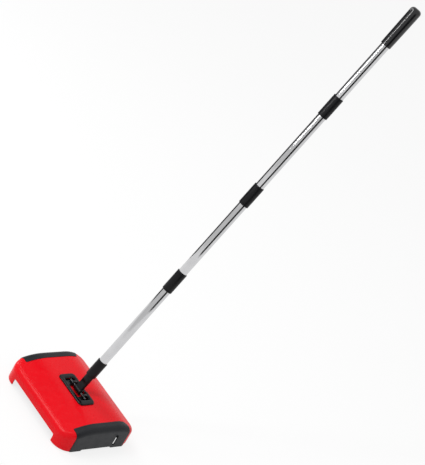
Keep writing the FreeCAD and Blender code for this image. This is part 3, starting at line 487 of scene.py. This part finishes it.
def bezel():
    """A bevelled ring: the plan outline carried round a small closed section."""
    y = -2 * MM
    top = TOP + 4 * MM
    def outline(half_x, low, high, radius):
        return rounded_loop(rectangle((-half_x, half_x), (low, high)), radius, 9)
    outer = (52 * MM, y - 23.5 * MM, y + 23.5 * MM, 10 * MM)
    inner = (38 * MM, y - 13 * MM, y + 14 * MM, 3 * MM)
    section = [
        (outer, 0.0, TOP),
        (outer, 0.0, top - 2.6 * MM),
        (outer, 0.35 * MM, top - 1.5 * MM),
        (outer, 1.3 * MM, top - 0.4 * MM),
        (outer, 2.4 * MM, top),
        (inner, -3.2 * MM, top),
        (inner, -2.6 * MM, top - 0.2 * MM),
        (inner, -2.2 * MM, top - 1.0 * MM),
        (inner, -0.5 * MM, top - 1.4 * MM),
        (inner, 0.0, top - 1.8 * MM),
        (inner, 0.0, TOP - 0.4 * MM),
    ]
    loops = []
    for (half_x, low, high, radius), draw_in, height in section:
        plan = outline(half_x - draw_in, low + draw_in, high - draw_in, max(radius - draw_in, 1 * MM))
        loops.append(np.column_stack([plan, np.full(len(plan), height)]))
    ring = loft("pivot_bezel_trim", loops, closed=True)
    slot = rectangle((-12.5 * MM, 12.5 * MM), (10 * MM, 30 * MM))
    carve(ring, prism("rear_slot", rounded_loop(slot, 1 * MM, 4), TOP + 0.6 * MM, TOP + 20 * MM))
    for side in (-1, 1):
        span = sorted((side * 20 * MM, side * 26 * MM))
        profile = [(-2, 57.5), (14, 57.5), (14, 67.2), (8, 68.4), (-2, 68.4)]
        ear = rounded_loop(np.array(profile) * MM, [2.5 * MM, 1 * MM, 1 * MM, 2 * MM, 4.4 * MM], 8)
        carve(ring, prism("ear", ear, span[0], span[1], "X"), "UNION")
        span = sorted((side * 21 * MM, side * 39 * MM))
        shelf = rectangle((-15.5 * MM, 12.5 * MM), (57.5 * MM, 61.2 * MM))
        carve(ring, prism("shelf", shelf, span[0], span[1], "X"), "UNION")
    bore = turned("bore", [(2.5 * MM, -50 * MM), (2.5 * MM, 50 * MM)], along_x(PIVOT[1], PIVOT[2]), 32)
    carve(ring, bore)
    relief = rectangle((-12.5 * MM, 12.5 * MM), (10 * MM, 16 * MM))
    carve(ring, prism("paddle_relief", relief, TOP - 9 * MM, TOP + 20 * MM))
    return soften(ring, 0.4 * MM)


def knuckle():
    """Barrel on the pin, flat paddle that swells into a round arm, and the tube's spigot."""
    barrel = turned("barrel", eased(np.array([
        (0.01, -12), (6.2, -12), (7, -11), (7, -8.6), (6.4, -8.2), (6.4, -5.4), (7, -5),
        (7, 5), (6.4, 5.4), (6.4, 8.2), (7, 8.6), (7, 11), (6.2, 12), (0.01, 12),
    ]) * MM, 0.002 * MM, 2), along_x(PIVOT[1], PIVOT[2]), 48)
    sides = 64
    turn = np.linspace(0, 2 * math.pi, sides, endpoint=False)
    stations = np.array([
        (0, 10.0, 5.0, 5), (4, 10.25, 5.0, 5), (20, 10.25, 5.0, 5), (25, 10.25, 5.6, 4),
        (29, 10.25, 8.0, 2.8), (33, 10.25, 10.25, 2), (44.6, 10.25, 10.25, 2), (46, 9.4, 9.4, 2),
        (46, 9.9, 9.9, 2), (80, 9.9, 9.9, 2),
    ])
    loops = []
    for height, across, deep, power in stations:
        cosine = np.sign(np.cos(turn)) * np.abs(np.cos(turn)) ** (2 / power)
        sine = np.sign(np.sin(turn)) * np.abs(np.sin(turn)) ** (2 / power)
        loops.append(np.column_stack([across * cosine, deep * sine, np.full(sides, height)]) * MM)
    arm = loft("handle_knuckle_arm", up_handle(np.array(loops)))
    carve(arm, barrel, "UNION")
    bore = turned("bore", [(2.58 * MM, -50 * MM), (2.58 * MM, 50 * MM)], along_x(PIVOT[1], PIVOT[2]), 32)
    carve(arm, bore)
    return soften(arm, 0.35 * MM)


# ------------------------------------------------------------------ handle

def tube(name, low, high):
    """A drawn tube with a thin wall and eased ends."""
    profile = [(TUBE_R - 0.9 * MM, low), (TUBE_R, low), (TUBE_R, high), (TUBE_R - 0.9 * MM, high)]
    return turned(name, eased(profile, 0.2 * MM, 3), up_handle, 96, closed=True)


def collar(name, low, high, ribbed=False):
    """A moulded collar over the tube, with eased lips and a shallow waist line at each end."""
    bore = TUBE_R + 0.03 * MM
    lip = SLEEVE_R
    groove = SLEEVE_R - 0.45 * MM
    profile = [(bore, low), (lip, low)]
    if ribbed:
        for place in (low + 4 * MM, high - 5 * MM):
            profile += [(lip, place), (groove, place + 0.3 * MM), (groove, place + 0.9 * MM),
                        (lip, place + 1.2 * MM)]
    profile += [(lip, high), (bore, high)]
    radii = [0.15 * MM, 0.9 * MM] + [0.1 * MM] * (len(profile) - 4) + [0.9 * MM, 0.15 * MM]
    return turned(name, rounded_loop(profile, radii, 5), up_handle, 96, closed=True)


def grip():
    """A hand grip that swells a little towards its domed end."""
    low, high = 1072 * MM, 1178 * MM
    height = np.linspace(low + 1.2 * MM, high - 9 * MM, 24)
    share = (height - low) / (high - low)
    side = np.column_stack([GRIP_R - (1 - share) ** 1.5 * 0.9 * MM, height])
    turn = np.linspace(0, math.pi / 2, 12)[1:]
    reach = side[-1, 0]
    flat = reach - 9 * MM
    dome = np.column_stack([
        flat + 9 * MM * np.cos(turn),
        high - 9 * MM + 9 * MM * np.sin(turn),
    ])
    foot = [
        (TUBE_R + 0.03 * MM, low),
        (side[0, 0] - 0.9 * MM, low),
        (side[0, 0] - 0.25 * MM, low + 0.35 * MM),
    ]
    inside = [(0.01 * MM, high), (0.01 * MM, high - 8 * MM), (TUBE_R + 0.03 * MM, high - 8 * MM)]
    profile = np.concatenate([foot, side, dome, inside])
    return turned("handle_grip", profile, up_handle, 96, closed=True)


# ------------------------------------------------------------------ brushes

def strands(name, roots, directions, lengths, radius, sides=4, steps=3, bend=None):
    """Tapered bristles: each is a thin prism from its root along its direction, bent a little.

    Point = root + direction * length * s + bend * s squared, with the section shrinking to
    60 per cent at the tip.
    """
    count = len(roots)
    directions = directions / np.linalg.norm(directions, axis=1, keepdims=True)
    helper = np.where(np.abs(directions[:, :1]) < 0.9, [[1.0, 0, 0]], [[0, 1.0, 0]])
    first = np.cross(directions, helper)
    first /= np.linalg.norm(first, axis=1, keepdims=True)
    second = np.cross(directions, first)
    share = np.linspace(0, 1, steps)
    turn = np.linspace(0, 2 * math.pi, sides, endpoint=False)
    centre = roots[:, None] + directions[:, None] * (lengths[:, None] * share[None])[..., None]
    if bend is not None:
        centre = centre + bend[:, None] * (share ** 2)[None, :, None]
    width = radius * (1 - 0.4 * share)
    around = first[:, None] * np.cos(turn)[None, :, None] + second[:, None] * np.sin(turn)[None, :, None]
    points = centre[:, :, None] + around[:, None] * width[None, :, None, None]
    faces = np.array(grid_faces(steps, sides))
    block = steps * sides
    body = (faces[None] + (np.arange(count) * block)[:, None, None]).reshape(-1, 4)
    ends = np.array([list(range(sides))[::-1], list(range(block - sides, block))])
    ends = (ends[None] + (np.arange(count) * block)[:, None, None]).reshape(-1, sides)
    mesh = bpy.data.meshes.new(name)
    mesh.from_pydata(points.reshape(-1, 3).tolist(), [], body.tolist() + ends.tolist())
    shade(mesh, 60)
    piece = bpy.data.objects.new(name, mesh)
    bpy.context.scene.collection.objects.link(piece)
    turn_outwards(piece)
    return piece


def turn_outwards(piece):
    tidy = bmesh.new()
    tidy.from_mesh(piece.data)
    bmesh.ops.recalc_face_normals(tidy, faces=tidy.faces)
    tidy.to_mesh(piece.data)
    tidy.free()


def roller_bristles():
    """Tufts in four chevron rows round the roller; each tuft is a small fan of bristles."""
    rows, tufts, per_tuft = 6, 44, 9
    row, tuft, strand = np.meshgrid(np.arange(rows), np.arange(tufts), np.arange(per_tuft), indexing="ij")
    row, tuft, strand = row.ravel(), tuft.ravel(), strand.ravel()
    x = (tuft / (tufts - 1) - 0.5) * 178 * MM
    angle = row * 2 * math.pi / rows + np.abs(x) / (90 * MM) * 1.5
    count = len(x)
    spread_x = rng.normal(0, 0.9 * MM, count)
    lean_x = rng.normal(0, 0.05, count)
    lean_a = rng.normal(0, 0.07, count)
    core = 10.4 * MM
    radial = np.stack([np.zeros(count), np.cos(angle), np.sin(angle)], 1)
    tangent = np.stack([np.zeros(count), -np.sin(angle), np.cos(angle)], 1)
    sideways = np.stack([np.ones(count), np.zeros(count), np.zeros(count)], 1)
    roots = np.array([0, 0, 26.5 * MM]) + radial * core + sideways * (x + spread_x * 0.5)[:, None]
    roots = roots + tangent * rng.normal(0, 0.7 * MM, count)[:, None]
    directions = radial + sideways * lean_x[:, None] + tangent * lean_a[:, None]
    lengths = rng.uniform(14.7, 15.3, count) * MM
    return strands("roller_bristles", roots, directions, lengths, 0.34 * MM, 4, 2)


def edge_tufts():
    """Bundles of short bristles under the four corner blocks."""
    per_tuft = 150
    roots = []
    for side in (-1, 1):
        for end in (-1, 1):
            x = side * rng.uniform(104.2, 112.8, per_tuft) * MM
            y = end * rng.uniform(90.2, 95.8, per_tuft) * MM
            roots.append(np.column_stack([x, y, np.full(per_tuft, 10.6 * MM)]))
    roots = np.concatenate(roots)
    count = len(roots)
    directions = np.column_stack([rng.normal(0, 0.05, count), rng.normal(0, 0.05, count), -np.ones(count)])
    lengths = rng.uniform(9.4, 10.2, count) * MM
    return strands("edge_tuft_bristles", roots, directions, lengths, 0.22 * MM, 4, 2)


def brush_core():
    """The roller with a shallow spiral groove under each row of tufts."""
    sides, stations = 96, 94
    turn = np.linspace(0, 2 * math.pi, sides, endpoint=False)
    x = np.linspace(-93, 93, stations) * MM
    twist = np.abs(x) / (90 * MM) * 1.5
    wave = np.cos(6 * (turn[None] - twist[:, None]))
    radius = 10.75 * MM - np.clip(wave, 0.6, 1) * 0.9 * MM + 0.54 * MM
    loops = np.stack([
        np.repeat(x[:, None], sides, 1),
        radius * np.cos(turn)[None],
        26.5 * MM + radius * np.sin(turn)[None],
    ], -1)
    return loft("roller_core", loops)


def tyre(name, y, side):
    """A ring of rubber with two tread grooves and eased shoulders."""
    rim, out = 18 * MM, 22.5 * MM
    low, high = 105.3 * MM, 115.7 * MM
    profile = [(rim, low), (out - 0.9 * MM, low), (out, low + 1.0 * MM)]
    for place in (108.3, 111.7):
        at = place * MM
        profile += [(out, at), (out - 0.9 * MM, at + 0.25 * MM), (out - 0.9 * MM, at + 0.75 * MM),
                    (out, at + 1.0 * MM)]
    profile += [(out, high - 1.0 * MM), (out - 0.9 * MM, high), (rim, high)]
    return turned(name, profile, along_x(y, 22.5 * MM, side), 72, closed=True)


# ------------------------------------------------------------------ stage

def floor():
    """A wide pale floor that looks near white and keeps a soft shadow."""
    size = 40
    corners = [(-size, -size, 0), (size, -size, 0), (size, size, 0), (-size, size, 0)]
    mesh = bpy.data.meshes.new("floor")
    mesh.from_pydata(corners, [], [(0, 1, 2, 3)])
    ground = bpy.data.objects.new("floor", mesh)
    bpy.context.scene.collection.objects.link(ground)
    pale = bpy.data.materials.new("pale_floor")
    pale.use_nodes = True
    nodes, links = pale.node_tree.nodes, pale.node_tree.links
    nodes.clear()
    paint = nodes.new("ShaderNodeBsdfDiffuse")
    paint.inputs["Color"].default_value = (0.88, 0.88, 0.88, 1)
    glow = nodes.new("ShaderNodeEmission")
    glow.inputs["Color"].default_value = (1, 1, 1, 1)
    glow.inputs["Strength"].default_value = 1.0
    path = nodes.new("ShaderNodeLightPath")
    seen = nodes.new("ShaderNodeMath")
    seen.operation = "MAXIMUM"
    share = nodes.new("ShaderNodeMath")
    share.operation = "MULTIPLY"
    share.inputs[1].default_value = 0.8
    mix = nodes.new("ShaderNodeMixShader")
    out = nodes.new("ShaderNodeOutputMaterial")
    links.new(path.outputs["Is Camera Ray"], seen.inputs[0])
    links.new(path.outputs["Is Glossy Ray"], seen.inputs[1])
    links.new(seen.outputs[0], share.inputs[0])
    links.new(share.outputs[0], mix.inputs["Fac"])
    links.new(paint.outputs[0], mix.inputs[1])
    links.new(glow.outputs[0], mix.inputs[2])
    links.new(mix.outputs[0], out.inputs["Surface"])
    mesh.materials.append(pale)
    ground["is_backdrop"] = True


def area_light(name, place, aim, size, power):
    lamp = bpy.data.lights.new(name, "AREA")
    lamp.shape = "RECTANGLE"
    lamp.size, lamp.size_y = size
    lamp.energy = power
    holder = bpy.data.objects.new(name, lamp)
    bpy.context.scene.collection.objects.link(holder)
    way = np.array(aim, float) - np.array(place, float)
    holder.location = place
    holder.rotation_euler = Vector(way).to_track_quat("-Z", "Y").to_euler()


def line_card(name, turn, width, distance=0.65):
    """A black strip beside the handle that only reflections see, turned about the handle's axis."""
    axis = np.array([0, math.cos(LEAN), math.sin(LEAN)])
    towards = np.array([0.542, -0.800, 0.260])
    beside = np.cross(axis, towards)
    way = math.cos(turn) * towards + math.sin(turn) * beside
    across = np.cross(axis, way) * width / 2
    middle = PIVOT + axis * 0.66 + way * distance
    reach = axis * 0.48
    corners = [
        middle - across - reach,
        middle + across - reach,
        middle + across + reach,
        middle - across + reach,
    ]
    mesh = bpy.data.meshes.new(name)
    mesh.from_pydata([corner.tolist() for corner in corners], [], [(0, 1, 2, 3)])
    card = bpy.data.objects.new(name, mesh)
    bpy.context.scene.collection.objects.link(card)
    black = bpy.data.materials.new("black_card")
    black.use_nodes = True
    shader = black.node_tree.nodes["Principled BSDF"]
    shader.inputs["Base Color"].default_value = (0.02, 0.02, 0.02, 1)
    shader.inputs["Roughness"].default_value = 1.0
    shader.inputs["Specular IOR Level"].default_value = 0.0
    mesh.materials.append(black)
    card.visible_camera = False
    card.visible_diffuse = False
    card.visible_shadow = False
    card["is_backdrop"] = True


def studio():
    world = bpy.data.worlds.new("studio")
    bpy.context.scene.world = world
    world.use_nodes = True
    nodes, links = world.node_tree.nodes, world.node_tree.links
    soft = nodes["Background"]
    soft.inputs["Color"].default_value = (1, 1, 1, 1)
    soft.inputs["Strength"].default_value = 0.72
    plain = nodes.new("ShaderNodeBackground")
    plain.inputs["Color"].default_value = (1, 1, 1, 1)
    plain.inputs["Strength"].default_value = 1.0
    path = nodes.new("ShaderNodeLightPath")
    mix = nodes.new("ShaderNodeMixShader")
    links.new(path.outputs["Is Camera Ray"], mix.inputs["Fac"])
    links.new(soft.outputs[0], mix.inputs[1])
    links.new(plain.outputs[0], mix.inputs[2])
    links.new(mix.outputs[0], nodes["World Output"].inputs["Surface"])
    area_light("key", (-1.2, -1.6, 2.6), (0, 0, 0.1), (1.2, 1.2), 34)
    area_light("strip", (-1.9, -0.2, 1.6), (0, 0.2, 0.5), (0.35, 2.2), 16)
    area_light("grip_strip", (-0.15, -0.22, 1.15), (0, 0.33, 1.05), (0.04, 0.5), 1.6)
    floor()
    line_card("line_right", math.radians(36), 0.46)
    line_card("line_left", math.radians(-112), 0.60)


# Camera: view angle, roll and distance in the body's frame
VIEW_AZIMUTH = math.radians(37.22)
VIEW_ELEVATION = math.radians(28.17)
VIEW_ROLL = math.radians(30.79)
VIEW_DISTANCE = 4.27916
VIEW_AIM = np.array([0, 0.2, 0.5])
# Focal length and shifts, as shares of the picture's width
VIEW_FOCAL = 4.3782588235
VIEW_SHIFT = (-0.0233411765, 0.0340705882)
VIEW_SENSOR = 36


def camera():
    """Looks at the aim point from the azimuth and elevation, turned about its own axis by the roll."""
    back = np.array([
        math.sin(VIEW_AZIMUTH) * math.cos(VIEW_ELEVATION),
        -math.cos(VIEW_AZIMUTH) * math.cos(VIEW_ELEVATION),
        math.sin(VIEW_ELEVATION),
    ])
    right = np.array([math.cos(VIEW_AZIMUTH), math.sin(VIEW_AZIMUTH), 0])
    up = np.cross(back, right)
    across = math.cos(VIEW_ROLL) * right + math.sin(VIEW_ROLL) * up
    upright = -math.sin(VIEW_ROLL) * right + math.cos(VIEW_ROLL) * up
    lens = bpy.data.cameras.new("view")
    lens.sensor_fit = "HORIZONTAL"
    lens.sensor_width = VIEW_SENSOR
    lens.lens = VIEW_FOCAL * VIEW_SENSOR
    lens.shift_x, lens.shift_y = VIEW_SHIFT
    lens.clip_end = 100
    holder = bpy.data.objects.new("view", lens)
    bpy.context.scene.collection.objects.link(holder)
    turn = Matrix((across.tolist(), upright.tolist(), back.tolist())).transposed()
    place = VIEW_AIM + back * VIEW_DISTANCE
    holder.matrix_world = Matrix.Translation(Vector(place.tolist())) @ turn.to_4x4()
    bpy.context.scene.camera = holder


# ------------------------------------------------------------------ finishes

RED = moulded(
    "red_gloss", (0.72, 0.002, 0.008), 0.25, grain=700, depth=0.00003, strength=0.1, gloss=0.15, vary=0.03,
)
CAP_BLACK = moulded(
    "satin_black", (0.013, 0.014, 0.017), 0.4, grain=1500, depth=0.00005, strength=0.35, gloss=0.25,
)
GLOSS_BLACK = moulded(
    "gloss_black", (0.004, 0.004, 0.005), 0.14, grain=500, depth=0.00002, strength=0.08, gloss=0.3,
)
GRIP_BLACK = moulded(
    "grip_black", (0.004, 0.004, 0.005), 0.16, grain=500, depth=0.00002, strength=0.08, gloss=0.6,
)
COLLAR_BLACK = moulded(
    "collar_black", (0.005, 0.005, 0.006), 0.34, grain=1300, depth=0.00004, strength=0.3, gloss=0.2,
)
FRAME_GREY = moulded("frame_grey", (0.045, 0.045, 0.05), 0.5, grain=900, depth=0.00005, strength=0.3)
NATURAL = moulded("natural_acetal", (0.72, 0.70, 0.64), 0.4, grain=900, depth=0.00003, strength=0.2)
RUBBER = moulded("rubber", (0.018, 0.018, 0.018), 0.62, grain=1800, depth=0.00006, strength=0.5)
TREAD = moulded("tread_rubber", (0.024, 0.024, 0.025), 0.68, grain=1600, depth=0.00008, strength=0.6)
NYLON = moulded("nylon_bristle", (0.016, 0.016, 0.018), 0.4, grain=2400, depth=0.00003, strength=0.3)
DARK_STEEL = metal("blackened_steel", (0.07, 0.07, 0.075), 0.25, (0.06, 1, 1))
STEEL = metal("bright_steel", (0.62, 0.62, 0.63), 0.22, (0.06, 1, 1))
TUBE_METAL = metal("polished_tube", (0.62, 0.62, 0.63), 0.11, (1, 1, 0.03), (LEAN - math.pi / 2, 0, 0))

CAD_FINISH = {
    "left_side_frame": FRAME_GREY, "right_side_frame": FRAME_GREY,
    "chassis_screws": STEEL, "bezel_screws": STEEL, "brush_shaft": STEEL,
    "left_drive_drum": RUBBER, "right_drive_drum": RUBBER, "brush_bushes": NATURAL,
    "front_dust_pan": FRAME_GREY, "rear_dust_pan": FRAME_GREY,
    "front_pan_lip": RUBBER, "rear_pan_lip": RUBBER,
    "wheel_axles": STEEL, "axle_clips": STEEL,
    "front_pan_crank": FRAME_GREY, "pan_release_lever": RUBBER, "pan_link": DARK_STEEL,
    "pan_pivot_pins": STEEL, "pan_springs": STEEL, "edge_brush_blocks": FRAME_GREY,
    "pivot_pin": DARK_STEEL, "pivot_pin_clips": DARK_STEEL,
}
for end in ("front", "rear"):
    for side in ("left", "right"):
        CAD_FINISH[f"{end}_{side}_wheel_hub"] = FRAME_GREY


def finish(piece, surface, body, slot, *nodes):
    """Gives a new piece its material and body, and hides the nodes it stands for; the slot is not used."""
    piece.data.materials.clear()
    piece.data.materials.append(surface)
    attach(piece, body)
    if nodes:
        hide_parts(*nodes)


def dress_cad_nodes():
    for node, surface in CAD_FINISH.items():
        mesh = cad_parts[node].data
        mesh.materials.clear()
        mesh.materials.append(surface)


# ------------------------------------------------------------------ build

dress_cad_nodes()
finish(red_housing(), RED, "chassis", "red_plastic", "top_housing")
finish(end_cap("left_cap_cover", -1), CAP_BLACK, "chassis", "black_cap", "left_end_cap")
finish(end_cap("right_cap_cover", 1), CAP_BLACK, "chassis", "black_cap", "right_end_cap")
finish(bezel(), GLOSS_BLACK, "chassis", "black_gloss", "pivot_bezel")
finish(knuckle(), COLLAR_BLACK, "handle", "black_cap", "handle_knuckle")
finish(collar("socket_collar", 46 * MM, 92 * MM), COLLAR_BLACK, "handle", "black_cap", "socket_sleeve")
FIRST_JOINT, PITCH, JOINT_HALF, WEB_HALF = 350.8 * MM, 269.4 * MM, 28.5 * MM, 3 * MM
for index, name in enumerate(("lower", "middle", "upper")):
    middle = FIRST_JOINT + index * PITCH
    piece = collar(f"{name}_collar", middle - JOINT_HALF, middle + JOINT_HALF, ribbed=True)
    finish(piece, COLLAR_BLACK, "handle", "black_gloss", f"{name}_connector")
for index, name in enumerate(("lower", "lower_middle", "upper_middle", "top")):
    low = 46.2 * MM if index == 0 else FIRST_JOINT + (index - 1) * PITCH + WEB_HALF
    high = FIRST_JOINT + index * PITCH - WEB_HALF if index < 3 else 1169.8 * MM
    finish(tube(f"{name}_drawn_tube", low, high), TUBE_METAL, "handle", "tube_metal", f"{name}_tube")
finish(grip(), GRIP_BLACK, "handle", "grip_plastic", "grip")
finish(roller_bristles(), NYLON, "brush_roller", "bristle", "brush_bristles")
finish(brush_core(), FRAME_GREY, "brush_roller", "frame_plastic", "brush_core")
finish(edge_tufts(), NYLON, "chassis", "bristle", "edge_brush_tufts")
for end, sign in (("front", -1), ("rear", 1)):
    for side, way in (("left", -1), ("right", 1)):
        low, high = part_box(f"{end}_{side}_tyre")
        piece = tyre(f"{end}_{side}_tread", (low.y + high.y) / 2, way)
        finish(piece, TREAD, f"{end}_{side}_wheel", "tyre", f"{end}_{side}_tyre")

studio()
camera()
bpy.context.scene.view_settings.view_transform = "Standard"

low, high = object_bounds()
